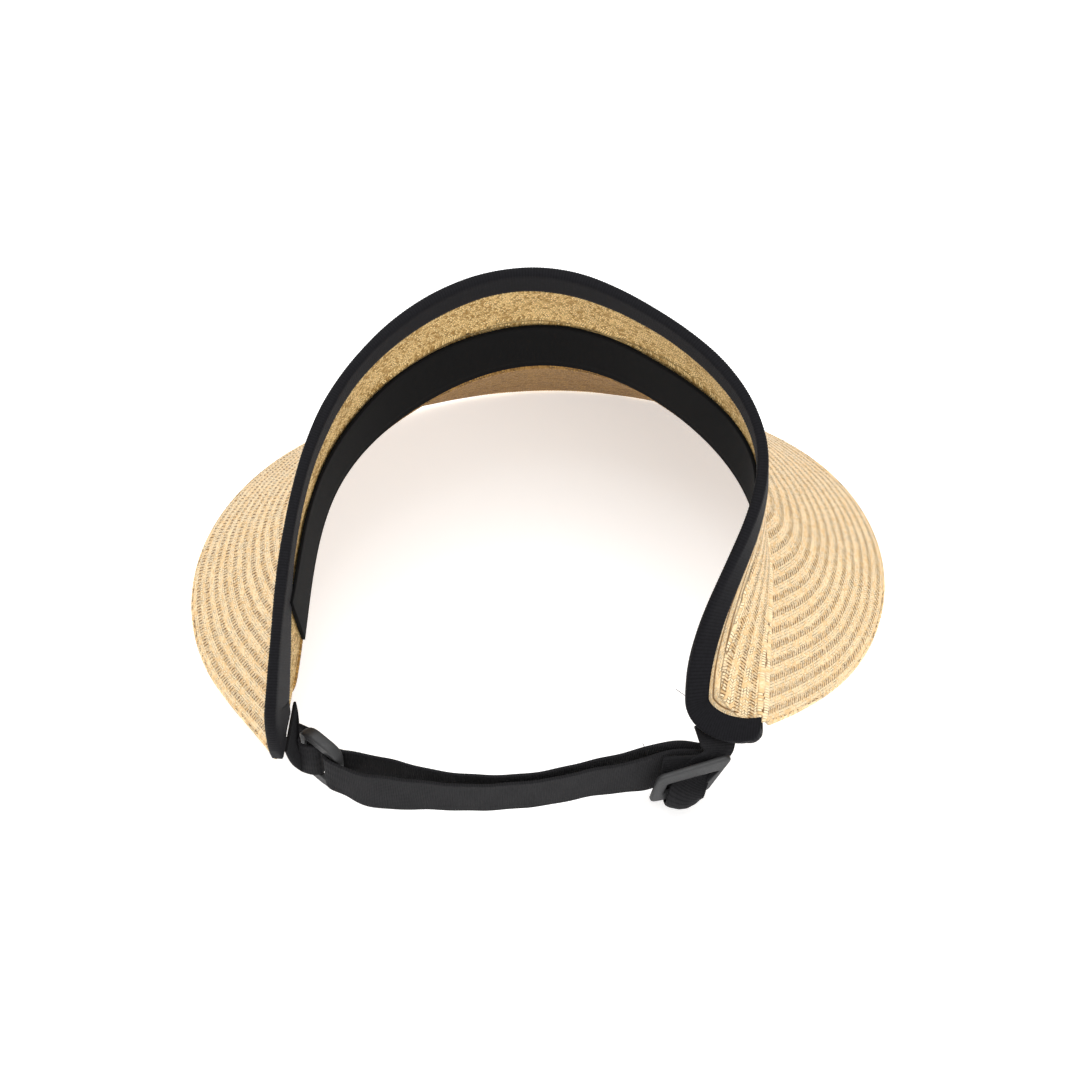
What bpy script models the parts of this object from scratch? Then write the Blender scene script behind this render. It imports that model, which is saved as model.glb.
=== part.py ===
"""Straw sun visor with an elastic back strap.

The crown band and the brim are two curved straw walls that meet along one fold line. The fold line
lies in a plane that rises towards the front, as the visor stands by itself on its brim. Front is -Y,
up is +Z, the wearer's left is +X. Sizes below are millimetres and degrees; the meshes are in metres.
"""
import bpy
import bmesh
import numpy as np
from mathutils import Matrix

MM = 0.001
GAP = 0.3                   # free space between neighbouring pieces

# Head line. One row per station, from the left end round the front to the right end:
# fold line x and y, crown height, crown lean (outwards +), brim width, brim droop below the base plane.
STATIONS = np.array((
    (90.5, 60.0, 16.0, 8.0, 0.0, 59.0),         # left end
    (85.0, 16.0, 37.5, 6.0, 49.0, 48.0),        # left temple
    (76.0, -42.0, 52.5, 0.0, 82.5, 50.0),       # left side
    (42.0, -80.5, 58.0, 2.5, 91.0, 59.0),       # left forehead
    (0.0, -95.0, 60.0, 1.0, 95.0, 63.5),        # front
    (-42.5, -81.0, 56.0, -1.0, 94.0, 58.0),     # right forehead
    (-76.5, -39.5, 44.0, 0.0, 81.5, 49.0),      # right side
    (-79.5, 11.0, 31.5, -37.0, 49.0, 55.5),     # right temple, crown curling inwards
    (-76.0, 53.0, 24.5, -116.0, -9.0, 62.0),    # right end, crown turned flat
))
BASE_TILT = 14.5            # rise of the fold line's plane towards the front
FRONT_RISE = 71.7           # height of the fold line at the front
STATION_X, STATION_Y, CROWN_HEIGHT, CROWN_LEAN, BRIM_WIDTH, BRIM_DROOP = range(6)

STRAW = 2.0                 # straw wall
FOLD_SETBACK = 0.9          # both straw walls stop this far from the fold line
LEFT_CORNER = 9.0           # rounding of the crown's lower back corners
RIGHT_CORNER = 13.0
BRIM_START = 2.0            # the brim stops short of the crown's left and right ends
BRIM_END = 9.0

RIBBON = 0.8                # binding ribbon
RIBBON_LEAF = 7.5           # how far it folds down on each face of the crown

SWEATBAND = 1.5             # inner band: thickness, height and distance from the crown's ends
SWEATBAND_HEIGHT = 29.0
SWEATBAND_FOOT = 1.2
SWEATBAND_INSET = 40.0

ELASTIC = 1.2               # elastic: thickness and width
LOOP_WIDTH = 16.4           # width of the elastic where it passes through a plastic piece

PLASTIC = 2.4               # ring and slider thickness
RING_CENTRE = np.array((77.0, 50.0, 20.0))
RING_TURN = 140.5           # direction of the ring's long way in plan, from the tab to the strap
RING_LEAN = 3.0
RING_SIZE = (19.0, 25.0)    # along the strap, across it
RING_BARS = (3.0, 3.8)      # bars that hold the elastic, plates that join them
RING_CORNER = 4.5
SLIDER_CENTRE = np.array((-51.0, 56.5, 17.0))
SLIDER_TURN = 195.5
SLIDER_SIZE = (31.0, 16.0)  # along its long bars, across them
SLIDER_BARS = (5.0, 3.8)    # end bars, long bars
SLIDER_CORNER = 2.5

# Elastic strap, doubled. Each row: centre x, y, z, lean of its width from upright (top towards the
# back +), width. The far layer runs from the right end to the ring, the near layer comes back.
FAR_LAYER = (
    (-57.0, 41.0, 14.5, 0.0, 16.0),
    (-44.0, 46.2, 16.8, 8.0, 19.0),
    (-31.0, 50.8, 17.7, 13.0, 20.0),
    (-17.0, 55.0, 17.7, 13.0, 20.0),
    (-3.0, 59.2, 17.7, 13.0, 20.0),
    (11.0, 61.3, 17.7, 13.0, 20.0),
    (25.0, 61.0, 17.7, 13.0, 20.0),
    (38.5, 58.9, 17.7, 12.0, 20.0),
    (52.0, 55.0, 17.8, 10.0, 20.0),
    (63.0, 53.0, 19.2, 8.0, 17.4),
)
NEAR_LAYER = (
    (66.5, 60.2, 19.3, 8.0, 17.4),
    (59.5, 62.3, 18.2, 8.0, 19.4),
    (49.0, 63.6, 17.8, 9.0, 20.0),
    (38.5, 64.6, 17.7, 11.0, 20.0),
    (25.0, 65.5, 17.7, 13.0, 20.0),
    (11.0, 64.8, 17.7, 13.0, 20.0),
    (-4.0, 62.6, 17.7, 13.0, 20.0),
    (-17.0, 59.0, 17.7, 12.0, 20.0),
    (-30.0, 56.3, 17.5, 9.0, 20.0),
    (-38.0, 53.6, 17.0, 4.0, 19.5),
    (-47.0, 48.8, 15.8, 0.0, 18.0),
    (-56.0, 44.6, 14.5, 0.0, 16.0),
)
# Right loop of elastic that holds the slider: distance along the slider, in front of it, height, width.
SLIDER_LOOP = (
    (9.5, -13.0, 27.4, 18.0),
    (5.8, -9.0, 26.9, 18.0),
    (3.2, -5.4, 25.7, 17.5),
    (2.0, -3.2, 23.4, 17.0),
    (1.4, -2.5, 21.0, 17.0),
    (1.2, -1.2, 18.8, 17.0),
    (1.2, 0.4, 16.9, 17.0),
    (1.2, 1.9, 15.0, 17.0),
    (1.2, 2.9, 12.6, 17.0),
    (1.2, 3.0, 10.0, 17.0),
    (1.2, 2.2, 7.6, 17.0),
    (1.2, 0.2, 6.3, 17.0),
    (1.2, -1.9, 7.4, 17.0),
    (1.2, -2.9, 9.8, 17.0),
    (1.2, -3.4, 13.0, 17.0),
    (1.2, -4.1, 17.0, 17.0),
    (1.5, -4.7, 20.5, 17.0),
    (1.8, -5.2, 23.0, 17.0),
)
# Left loop that holds the ring. It leaves the crown's left end flat and twists upright into the ring.
LEFT_ROOT = np.array((86.9, 46.2, 33.0))
LEFT_ROOT_ACROSS = np.array((-2.5, -18.0, 5.3))     # its width there, as a vector
LEFT_TWIST = (0.0, 0.3, 0.6, 0.85)                  # shares of the way to the ring where it is shaped
LEFT_TAIL = ((-9.5, -2.8), (-11.5, -2.4), (-13.5, -2.0))    # its sewn end: along the ring, in front of it

COLOURS = {
    "straw": ((0.72, 0.49, 0.25), 0.75),
    "ribbon": ((0.012, 0.012, 0.016), 0.7),
    "sweatband": ((0.01, 0.01, 0.011), 0.8),
    "elastic": ((0.02, 0.02, 0.022), 0.75),
    "plastic": ((0.05, 0.05, 0.055), 0.45),
}


def clear_scene():
    for obj in list(bpy.data.objects):
        bpy.data.objects.remove(obj, do_unlink=True)


def natural_spline(values, at):
    """Natural cubic spline through values[0], values[1], ... read at the station numbers in at."""
    count = len(values)
    system = np.eye(count)
    right = np.zeros_like(values)
    for row in range(1, count - 1):
        system[row, row - 1:row + 2] = (1.0, 4.0, 1.0)
        right[row] = 6.0 * (values[row - 1] - 2.0 * values[row] + values[row + 1])
    bend = np.linalg.solve(system, right)
    left = np.clip(np.floor(at).astype(int), 0, count - 2)
    after = (at - left)[:, None]
    before = 1.0 - after
    return (values[left] * before + values[left + 1] * after
            + bend[left] * (before ** 3 - before) / 6.0 + bend[left + 1] * (after ** 3 - after) / 6.0)


def unit(vectors):
    return vectors / np.linalg.norm(vectors, axis=-1, keepdims=True)


class HeadLine:
    """The fold line as a dense table over its own length, with both walls' directions on it."""

    def __init__(self, samples=1601):
        number = np.linspace(0.0, len(STATIONS) - 1.0, samples)
        rows = natural_spline(STATIONS, number)
        slope = np.tan(np.radians(BASE_TILT))
        front = STATIONS[:, STATION_Y].min()
        height = FRONT_RISE - (rows[:, STATION_Y] - front) * slope
        self.fold = np.column_stack((rows[:, STATION_X], rows[:, STATION_Y], height))
        step = np.linalg.norm(np.diff(self.fold, axis=0), axis=1)
        self.along = np.concatenate(((0.0,), np.cumsum(step)))
        self.length = self.along[-1]
        tilt = np.radians(BASE_TILT)
        up = np.array((0.0, np.sin(tilt), np.cos(tilt)))
        self.tangent = unit(np.gradient(self.fold, axis=0))
        outward = unit(np.cross(up, self.tangent))
        lean = np.radians(rows[:, CROWN_LEAN])[:, None]
        droop = np.radians(rows[:, BRIM_DROOP])[:, None]
        self.crown_way = np.cos(lean) * up + np.sin(lean) * outward
        self.brim_way = np.cos(droop) * outward - np.sin(droop) * up
        self.brim_width = rows[:, BRIM_WIDTH]
        rounding = self.corner(self.along, LEFT_CORNER) * self.corner(self.length - self.along, RIGHT_CORNER)
        self.crown_height = rows[:, CROWN_HEIGHT] * rounding

    @staticmethod
    def corner(distance, radius):
        """Quarter-ellipse that brings the height to nothing at an end."""
        part = np.clip(distance / radius, 0.0, 1.0)
        return np.sqrt(1.0 - (1.0 - part) ** 2)

    def read(self, table, along):
        if table.ndim == 1:
            return np.interp(along, self.along, table)
        columns = [np.interp(along, self.along, column) for column in table.T]
        return np.stack(columns, axis=-1)

    def wall(self, way, along, reach, offset):
        """Points at a distance reach from the fold line, moved by offset to the wall's outer side."""
        direction = unit(self.read(way, along))
        nearby = self.read(self.fold, along + 1.0) + unit(self.read(way, along + 1.0)) * reach[..., None]
        before = self.read(self.fold, along - 1.0) + unit(self.read(way, along - 1.0)) * reach[..., None]
        face = unit(np.cross(direction, nearby - before))
        point = self.read(self.fold, along) + direction * reach[..., None]
        return point + face * offset[..., None]


def add_object(name, points, faces, material):
    mesh = bpy.data.meshes.new(name)
    mesh.from_pydata([tuple(point * MM) for point in points], [], faces)
    work = bmesh.new()
    work.from_mesh(mesh)
    bmesh.ops.recalc_face_normals(work, faces=work.faces)
    work.to_mesh(mesh)
    work.free()
    mesh.shade_smooth()
    mesh.set_sharp_from_angle(angle=np.radians(40.0))
    mesh.materials.append(material)
    obj = bpy.data.objects.new(name, mesh)
    bpy.context.scene.collection.objects.link(obj)
    return obj


def make_material(name):
    colour, roughness = COLOURS[name]
    material = bpy.data.materials.new(name)
    material.use_nodes = True
    shader = material.node_tree.nodes["Principled BSDF"]
    shader.inputs["Base Color"].default_value = (*colour, 1.0)
    shader.inputs["Roughness"].default_value = roughness
    shader.inputs["Metallic"].default_value = 0.0
    return material


def swept_faces(rings, sides, closed):
    """Quads between successive rings of points, with end caps when the sweep isn't closed."""
    faces = []
    for ring in range(rings if closed else rings - 1):
        start = ring * sides
        after = (ring + 1) % rings * sides
        for side in range(sides):
            beside = (side + 1) % sides
            faces.append((start + side, start + beside, after + beside, after + side))
    if not closed:
        faces.append(tuple(range(sides)))
        faces.append(tuple(range((rings - 1) * sides, rings * sides)))
    return faces


def add_wall(name, line, way, along, reach, thickness, offset, material):
    """A wall of even thickness over a grid: along the fold line by reach away from it."""
    half = thickness / 2.0
    outer = line.wall(way, along, reach, np.full(reach.shape, offset + half))
    inner = line.wall(way, along, reach, np.full(reach.shape, offset - half))
    rings, steps = reach.shape
    loop = np.concatenate((outer, inner[:, ::-1]), axis=1)
    faces = []
    sides = 2 * steps
    for ring in range(rings - 1):
        for side in range(sides):
            beside = (side + 1) % sides
            a, b = ring * sides, (ring + 1) * sides
            faces.append((a + side, a + beside, b + beside, b + side))
    for ring in (0, rings - 1):
        base = ring * sides
        for step in range(steps - 1):
            faces.append((base + step, base + step + 1, base + sides - 2 - step, base + sides - 1 - step))
    return add_object(name, loop.reshape(-1, 3), faces, material)


def end_weighted(start, end, count, crowding):
    """Numbers from start to end that lie closer together towards both ends."""
    even = np.linspace(0.0, 1.0, count)
    eased = 0.5 - 0.5 * np.cos(np.pi * even)
    return start + (end - start) * (crowding * eased + (1.0 - crowding) * even)


def turned(degrees):
    """Unit vectors in plan: along a direction, and to its right-hand side."""
    angle = np.radians(degrees)
    return np.array((np.cos(angle), np.sin(angle), 0.0)), np.array((np.sin(angle), -np.cos(angle), 0.0))


def add_ribbon(name, stations, material, per_span, square=True):
    """Flat strap: a thin rectangle carried along a spline. A station is centre, width vector.

    The width is turned square to the spline, unless the strap twists out of its own line.
    """
    stations = np.array(stations)
    at = np.linspace(0.0, len(stations) - 1.0, (len(stations) - 1) * per_span + 1)
    rows = natural_spline(stations, at)
    centre, across = rows[:, :3], rows[:, 3:]
    travel = unit(np.gradient(centre, axis=0))
    width = np.linalg.norm(across, axis=1, keepdims=True) / 2.0
    if square:
        across = across - travel * (across * travel).sum(axis=1, keepdims=True)
    across = unit(across) * width
    face = unit(np.cross(travel, across)) * (ELASTIC / 2.0)
    rings = np.stack((centre + across + face, centre + across - face,
                      centre - across - face, centre - across + face), axis=1)
    faces = swept_faces(len(rings), 4, closed=False)
    return add_object(name, rings.reshape(-1, 3), faces, material)


def leaning_rows(rows):
    """Turns (x, y, z, lean, width) rows into centre and width vector."""
    table = np.array(rows)
    lean = np.radians(table[:, 3])
    across = np.column_stack((np.zeros(len(table)), np.sin(lean), np.cos(lean))) * table[:, 4:5]
    return np.column_stack((table[:, :3], across))


def around_bar(centre, along, side, across, radii, angles):
    """Stations of a ribbon that wraps a bar; angles run from the side vector towards along."""
    angles = np.radians(angles)[:, None]
    points = centre + along * np.sin(angles) * radii[0] + side * np.cos(angles) * radii[1]
    return np.column_stack((points, np.repeat(across[None, :], len(points), axis=0)))


def ring_axes():
    along, side = turned(RING_TURN)
    lean = np.radians(RING_LEAN)
    across = np.array((0.0, np.sin(lean), np.cos(lean)))
    across = unit(across - along * (across @ along))
    return along, np.cross(along, across), across


def rounded_outline(size, corner, steps):
    """Rectangle with round corners, counter-clockwise, as points in its own plane."""
    quarter = np.linspace(0.0, np.pi / 2.0, steps + 1)
    half = np.array(size) / 2.0 - corner
    points = []
    for index, (sx, sy) in enumerate(((1, 1), (-1, 1), (-1, -1), (1, -1))):
        angle = quarter + index * np.pi / 2.0
        points.append(np.column_stack((sx * half[0] + corner * np.cos(angle),
                                       sy * half[1] + corner * np.sin(angle))))
    return np.concatenate(points)


def add_frame(name, centre, along, side, across, size, bars, corner, material):
    """Flat plastic frame with one rectangular window."""
    outer = rounded_outline(size, corner, 5)
    window = (size[0] - 2.0 * bars[0], size[1] - 2.0 * bars[1])
    inner = rounded_outline(window, 0.8, 5)
    count = len(outer)
    rings = []
    for outline, shift in ((outer, 0.5), (outer, -0.5), (inner, -0.5), (inner, 0.5)):
        flat = centre + outline[:, :1] * along + outline[:, 1:] * across
        rings.append(flat + side * (shift * PLASTIC))
    faces = swept_faces(4, count, closed=True)
    return add_object(name, np.concatenate(rings), faces, material)


def build_ring(material):
    along, side, across = ring_axes()
    return add_frame("strap_ring", RING_CENTRE, along, side, across, RING_SIZE, RING_BARS, RING_CORNER, material)


def build_slider(material):
    along, side = turned(SLIDER_TURN)
    across = np.array((0.0, 0.0, 1.0))
    return add_frame("strap_slider", SLIDER_CENTRE, along, side, across,
                     SLIDER_SIZE, SLIDER_BARS, SLIDER_CORNER, material)


def build_strap(material):
    along, side, across = ring_axes()
    bar = RING_CENTRE + along * (RING_SIZE[0] - RING_BARS[0]) / 2.0
    fold = around_bar(bar, along, side, across * LOOP_WIDTH, (3.3, 3.0), (-180.0, -135.0, -90.0, -45.0, 0.0))
    rows = np.concatenate((leaning_rows(FAR_LAYER), fold, leaning_rows(NEAR_LAYER)))
    return add_ribbon("elastic_strap", rows, material, 4)


def build_left_tab(material):
    along, side, across = ring_axes()
    bar = RING_CENTRE - along * (RING_SIZE[0] - RING_BARS[0]) / 2.0
    fold = around_bar(bar, along, side, across * LOOP_WIDTH, (8.0, 3.8), (20.0, 50.0, 90.0, 120.0, 150.0))
    share = np.array(LEFT_TWIST)[:, None]
    centre = LEFT_ROOT + (fold[0, :3] - LEFT_ROOT) * share
    width = LEFT_ROOT_ACROSS + (fold[0, 3:] - LEFT_ROOT_ACROSS) * share
    size = np.linalg.norm(LEFT_ROOT_ACROSS) + (LOOP_WIDTH - np.linalg.norm(LEFT_ROOT_ACROSS)) * share
    root = np.column_stack((centre, unit(width) * size))
    tail = np.array([RING_CENTRE + along * a + side * b for a, b in LEFT_TAIL])
    tail = np.column_stack((tail, np.repeat(across[None, :] * LOOP_WIDTH, len(tail), axis=0)))
    return add_ribbon("strap_tab", np.concatenate((root, fold, tail)), material, 4, square=False)


def build_slider_loop(material):
    along, side = turned(SLIDER_TURN)
    table = np.array(SLIDER_LOOP)
    centre = SLIDER_CENTRE * (1.0, 1.0, 0.0) + along * table[:, :1] + side * table[:, 1:2]
    centre[:, 2] = table[:, 2]
    return add_ribbon("slider_loop", np.column_stack((centre, along * table[:, 3:4])), material, 3)


def build_crown(line, material):
    along = end_weighted(0.3, line.length - 0.3, 96, 0.75)
    top = np.maximum(line.read(line.crown_height, along), FOLD_SETBACK + 1.0)
    share = np.linspace(0.0, 1.0, 5)
    reach = FOLD_SETBACK + (top - FOLD_SETBACK)[:, None] * share
    along = np.repeat(along[:, None], len(share), axis=1)
    return add_wall("crown_band", line, line.crown_way, along, reach, STRAW, 0.0, material)


def build_brim(line, material):
    along = end_weighted(BRIM_START, line.length - BRIM_END, 88, 0.5)
    edge = np.maximum(line.read(line.brim_width, along), FOLD_SETBACK + 1.0)
    share = np.linspace(0.0, 1.0, 8)
    reach = FOLD_SETBACK + (edge - FOLD_SETBACK)[:, None] * share
    along = np.repeat(along[:, None], len(share), axis=1)
    return add_wall("brim", line, line.brim_way, along, reach, STRAW, 0.0, material)


def build_sweatband(line, material):
    along = np.linspace(SWEATBAND_INSET, line.length - SWEATBAND_INSET, 64)
    free = line.read(line.crown_height, along) - RIBBON_LEAF - 1.0
    top = np.minimum(SWEATBAND_HEIGHT, free)
    share = np.linspace(0.0, 1.0, 3)
    reach = SWEATBAND_FOOT + (top - SWEATBAND_FOOT)[:, None] * share
    along = np.repeat(along[:, None], len(share), axis=1)
    offset = -(STRAW / 2.0 + GAP + SWEATBAND / 2.0)
    return add_wall("sweatband", line, line.crown_way, along, reach, SWEATBAND, offset, material)


def build_binding(line, material):
    """Ribbon folded over the crown's edge: a U profile carried round the crown's outline."""
    along = end_weighted(0.3, line.length - 0.3, 120, 0.85)
    top = np.maximum(line.read(line.crown_height, along), FOLD_SETBACK)
    way = unit(np.column_stack((np.gradient(along), np.gradient(top))))
    inwards = np.column_stack((way[:, 1], -way[:, 0]))
    near = STRAW / 2.0 + GAP
    far = near + RIBBON
    crest = GAP + RIBBON
    profile = np.array((
        (RIBBON_LEAF, near), (RIBBON_LEAF, far), (1.0, far), (-crest, near * 0.6), (-crest, -near * 0.6),
        (1.0, -far), (RIBBON_LEAF, -far), (RIBBON_LEAF, -near), (-GAP, -near), (-GAP, near),
    ))
    depth = profile[:, 0]
    a = along[:, None] + inwards[:, :1] * depth
    t = top[:, None] + inwards[:, 1:] * depth
    offset = np.repeat(profile[None, :, 1], len(along), axis=0)
    points = line.wall(line.crown_way, a, t, offset)
    faces = swept_faces(len(along), len(profile), closed=False)
    return add_object("crown_binding", points.reshape(-1, 3), faces, material)


def set_on_table(objects):
    """Moves the whole visor so that the middle of its box's underside is the origin."""
    corners = []
    for obj in objects:
        points = np.empty(3 * len(obj.data.vertices))
        obj.data.vertices.foreach_get("co", points)
        points = points.reshape(-1, 3)
        corners.extend((points.min(axis=0), points.max(axis=0)))
    low, high = np.min(corners, axis=0), np.max(corners, axis=0)
    shift = Matrix.Translation((-(low[0] + high[0]) / 2.0, -(low[1] + high[1]) / 2.0, -low[2]))
    for obj in objects:
        obj.data.transform(shift)


def main():
    clear_scene()
    materials = {name: make_material(name) for name in COLOURS}
    line = HeadLine()
    set_on_table((
        build_crown(line, materials["straw"]),
        build_brim(line, materials["straw"]),
        build_binding(line, materials["ribbon"]),
        build_sweatband(line, materials["sweatband"]),
        build_ring(materials["plastic"]),
        build_slider(materials["plastic"]),
        build_strap(materials["elastic"]),
        build_left_tab(materials["elastic"]),
        build_slider_loop(materials["elastic"]),
    ))


main()
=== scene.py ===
"""Straw sun visor with an open crown, a black ribbon edge and an elastic back strap.

Front is -Y, up is +Z, the wearer's left is +X. Shapes are worked out in millimetres.
"""

import bpy
import numpy as np
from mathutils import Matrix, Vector


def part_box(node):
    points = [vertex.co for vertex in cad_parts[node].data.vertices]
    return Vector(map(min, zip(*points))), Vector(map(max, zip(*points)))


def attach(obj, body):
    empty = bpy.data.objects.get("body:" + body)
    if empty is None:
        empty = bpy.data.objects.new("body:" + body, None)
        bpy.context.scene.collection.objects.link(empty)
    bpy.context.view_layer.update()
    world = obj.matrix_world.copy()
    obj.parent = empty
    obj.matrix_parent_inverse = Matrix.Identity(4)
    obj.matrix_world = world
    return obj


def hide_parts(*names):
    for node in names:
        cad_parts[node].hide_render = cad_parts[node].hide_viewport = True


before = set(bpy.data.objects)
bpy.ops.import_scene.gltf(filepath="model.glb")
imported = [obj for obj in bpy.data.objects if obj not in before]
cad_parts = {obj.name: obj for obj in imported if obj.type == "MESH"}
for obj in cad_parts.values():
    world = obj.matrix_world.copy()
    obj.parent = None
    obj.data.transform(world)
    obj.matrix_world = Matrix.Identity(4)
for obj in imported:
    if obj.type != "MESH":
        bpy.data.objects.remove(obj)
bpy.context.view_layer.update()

# Place on the table. The shapes below share one drawing frame; its place in the row frame is read
# from the plastic ring, whose box is even about its centre.
MM = 0.001
RING_CENTRE = np.array((77.0, 50.0, 20.0))
ring_low, ring_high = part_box("strap_ring")
PLACE = np.array((ring_low + ring_high) / 2.0) - RING_CENTRE * MM

# Camera: behind the visor and well above it, looking down at the head opening.
CAMERA_FROM = np.array((0.0, 717.8, 837.3))
CAMERA_TO = np.array((0.0, -40.0, 40.0))
camera_data = bpy.data.cameras.new("camera")
camera_data.lens = 100.57
camera_data.sensor_width = 36.0
camera_data.shift_x = -0.0009
camera_data.shift_y = -0.0074
camera_data.clip_end = 20.0
camera = bpy.data.objects.new("camera", camera_data)
camera.location = Vector(CAMERA_FROM * MM + PLACE)
camera.rotation_mode = "QUATERNION"
camera.rotation_quaternion = Vector(CAMERA_TO - CAMERA_FROM).to_track_quat("-Z", "Y")
bpy.context.scene.collection.objects.link(camera)
bpy.context.scene.camera = camera

# Floor and light: plain white paper that glows a little, under white surroundings, a broad soft top light
# and a weaker one from behind and the right.
world = bpy.data.worlds.new("studio")
world.use_nodes = True
world.node_tree.nodes["Background"].inputs["Color"].default_value = (1.0, 1.0, 1.0, 1.0)
world.node_tree.nodes["Background"].inputs["Strength"].default_value = 0.85
bpy.context.scene.world = world
bpy.context.scene.view_settings.view_transform = "Standard"


def area_light(name, place, aim, size, power):
    """Square soft light at place, turned to aim; both in metres."""
    data = bpy.data.lights.new(name, "AREA")
    data.size, data.energy = size, power
    light = bpy.data.objects.new(name, data)
    light.location = place
    light.rotation_mode = "QUATERNION"
    light.rotation_quaternion = (Vector(aim) - Vector(place)).to_track_quat("-Z", "Y")
    bpy.context.scene.collection.objects.link(light)


area_light("top_light", (0.25, -0.1, 1.5), (0.0, 0.0, 0.05), 1.3, 13.0)
area_light("back_light", (-0.7, 1.2, 1.0), (0.0, 0.0, 0.05), 0.9, 7.0)


HALF_FLOOR = 3.0
floor_mesh = bpy.data.meshes.new("floor")
floor_mesh.from_pydata([(-HALF_FLOOR, -HALF_FLOOR, 0.0), (HALF_FLOOR, -HALF_FLOOR, 0.0),
                        (HALF_FLOOR, HALF_FLOOR, 0.0), (-HALF_FLOOR, HALF_FLOOR, 0.0)], [], [(0, 1, 2, 3)])
floor_material = bpy.data.materials.new("floor_paper")
floor_material.use_nodes = True
floor_shader = floor_material.node_tree.nodes["Principled BSDF"]
floor_shader.inputs["Base Color"].default_value = (0.93, 0.93, 0.93, 1.0)
floor_shader.inputs["Roughness"].default_value = 0.9
# the floor's glow is painted light: it washes out the visor's shadow on the floor and lifts the shade under
# the visor
floor_shader.inputs["Emission Color"].default_value = (1.0, 1.0, 1.0, 1.0)
floor_shader.inputs["Emission Strength"].default_value = 0.5
floor_mesh.materials.append(floor_material)
floor = bpy.data.objects.new("floor", floor_mesh)
bpy.context.scene.collection.objects.link(floor)

# Head line. The straw crown and the straw brim are two walls that meet in one fold. One row per station
# from the left end round the front to the right end: fold x, y, crown height, lean, brim width, droop.
STATIONS = np.array((
    (90.5, 60.0, 16.0, 8.0, 0.0, 59.0),
    (85.0, 16.0, 37.5, 6.0, 49.0, 48.0),
    (76.0, -42.0, 52.5, 0.0, 82.5, 50.0),
    (42.0, -80.5, 58.0, 2.5, 91.0, 59.0),
    (0.0, -95.0, 60.0, 1.0, 95.0, 63.5),
    (-42.5, -81.0, 56.0, -1.0, 94.0, 58.0),
    (-76.5, -39.5, 44.0, 0.0, 81.5, 49.0),
    (-79.5, 11.0, 31.5, -37.0, 49.0, 55.5),
    (-76.0, 53.0, 24.5, -116.0, -9.0, 62.0),
))
BASE_TILT = np.radians(14.5)
FRONT_RISE = 71.7                       # height of the fold at the front
LEFT_CORNER, RIGHT_CORNER = 9.0, 13.0   # lengths over which the crown's top comes down at its ends
FOLD_POINTS = 1601


def natural_spline(values, at):
    """Natural cubic spline through the rows of values, read at the fractional row numbers in at."""
    count = len(values)
    system, right = np.eye(count), np.zeros_like(values)
    for row in range(1, count - 1):
        system[row, row - 1:row + 2] = (1.0, 4.0, 1.0)
        right[row] = 6.0 * (values[row - 1] - 2.0 * values[row] + values[row + 1])
    bend = np.linalg.solve(system, right)
    left = np.clip(np.floor(at).astype(int), 0, count - 2)
    after = (at - left)[:, None]
    before = 1.0 - after
    return (values[left] * before + values[left + 1] * after
            + bend[left] * (before ** 3 - before) / 6.0 + bend[left + 1] * (after ** 3 - after) / 6.0)


def unit(vectors):
    """Vectors made one long."""
    return vectors / np.linalg.norm(vectors, axis=-1, keepdims=True)


def quarter_round(distance, radius):
    """Quarter-ellipse that brings a height to nothing at an end."""
    return np.sqrt(1.0 - (1.0 - np.clip(distance / radius, 0.0, 1.0)) ** 2)


def path_length(points):
    """Length along a path up to each of its points."""
    return np.concatenate(((0.0,), np.cumsum(np.linalg.norm(np.diff(points, axis=0), axis=1))))


rows = natural_spline(STATIONS, np.linspace(0.0, len(STATIONS) - 1.0, FOLD_POINTS))
fold = np.column_stack((rows[:, :2], FRONT_RISE - (rows[:, 1] - STATIONS[:, 1].min()) * np.tan(BASE_TILT)))
fold_along = path_length(fold)
HEAD = fold_along[-1]
tilted_up = np.array((0.0, np.sin(BASE_TILT), np.cos(BASE_TILT)))
outward = unit(np.cross(tilted_up, unit(np.gradient(fold, axis=0))))
lean, droop = np.radians(rows[:, 3:4]), np.radians(rows[:, 5:6])
crown_way = np.cos(lean) * tilted_up + np.sin(lean) * outward
brim_way = np.cos(droop) * outward - np.sin(droop) * tilted_up
brim_width = rows[:, 4]
crown_height = (rows[:, 2] * quarter_round(fold_along, LEFT_CORNER)
                * quarter_round(HEAD - fold_along, RIGHT_CORNER))


def read(table, along):
    """Reads a table kept over the fold line at the distances along it."""
    if table.ndim == 1:
        return np.interp(along, fold_along, table)
    return np.stack([np.interp(along, fold_along, column) for column in table.T], axis=-1)


def wall(way, along, reach, offset):
    """Points at a distance reach from the fold line along way, moved by offset square to the wall."""
    direction = unit(read(way, along))
    ahead = read(fold, along + 1.0) + unit(read(way, along + 1.0)) * reach[..., None]
    behind = read(fold, along - 1.0) + unit(read(way, along - 1.0)) * reach[..., None]
    face = unit(np.cross(direction, ahead - behind))
    return read(fold, along) + direction * reach[..., None] + face * offset[..., None]


# Straw braid. Flat paper-straw braid about 5 mm wide, sewn in rows that lap over one another. Small
# slanted slits show in a line where each row is sewn down; between them the strands lie in a V.
BRAID = 5.2                 # width of one row
SLIT_PITCH, BRIM_SLIT_PITCH = 1.05, 1.6
SLIT_LEAN = BRAID * 0.55    # how far a slit leans over one row at a slant of one
ROW_SHIFT = 9.0             # every row begins elsewhere, by up to this much
STRAND_BANDS = 5.0          # narrow bands of slanted strands in one row
STRAND_PITCH, STRAND_LEAN = 1.0, 0.8


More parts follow.
